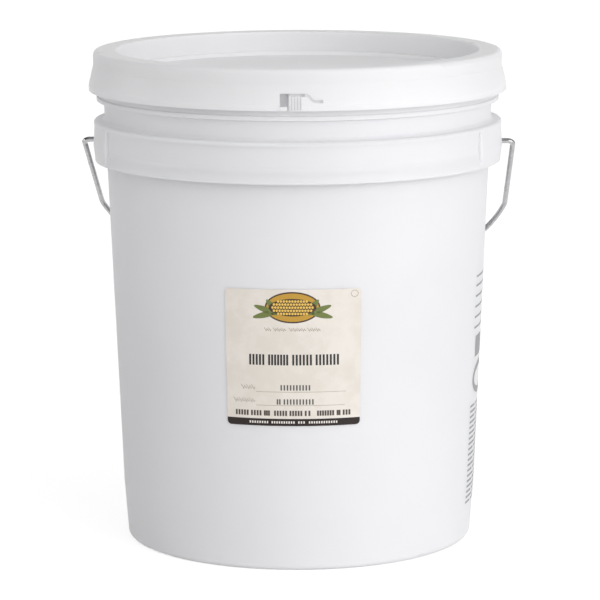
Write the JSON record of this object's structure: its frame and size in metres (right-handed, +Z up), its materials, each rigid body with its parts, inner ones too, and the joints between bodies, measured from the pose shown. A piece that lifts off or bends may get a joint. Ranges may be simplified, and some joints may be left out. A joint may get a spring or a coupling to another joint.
{
  "type": "plastic pail of corn syrup",
  "caption": "Shut white plastic pail of corn syrup with a press-on lid, stacking rings, a swinging wire bail with a hand grip, and a paper label on the front.",
  "frame": {"origin": "centre of the base, level with the ring that the pail stands on", "axes": "+Z up through the lid; -Y faces the label; the ears and the bail's axis lie along X; the bail hangs back towards +Y"},
  "size_m": [0.3268, 0.3177, 0.3695],
  "materials": {
    "pail_plastic": "satin",
    "lid_plastic": "satin",
    "wire": "satin",
    "grip_plastic": "satin",
    "label_paper": "matte"
  },
  "bodies": {
    "bucket": {"pail": "pail_plastic", "lid": "lid_plastic", "label": "label_paper"},
    "handle": {"bail": "wire", "hand_grip": "grip_plastic"}
  },
  "joints": [
    {"name": "bail_swing", "type": "hinge", "parent": "bucket", "child": "handle", "pos_m": [0, 0, 0.3004], "axis": [1, 0, 0], "range_deg": [0, 260]}
  ]
}
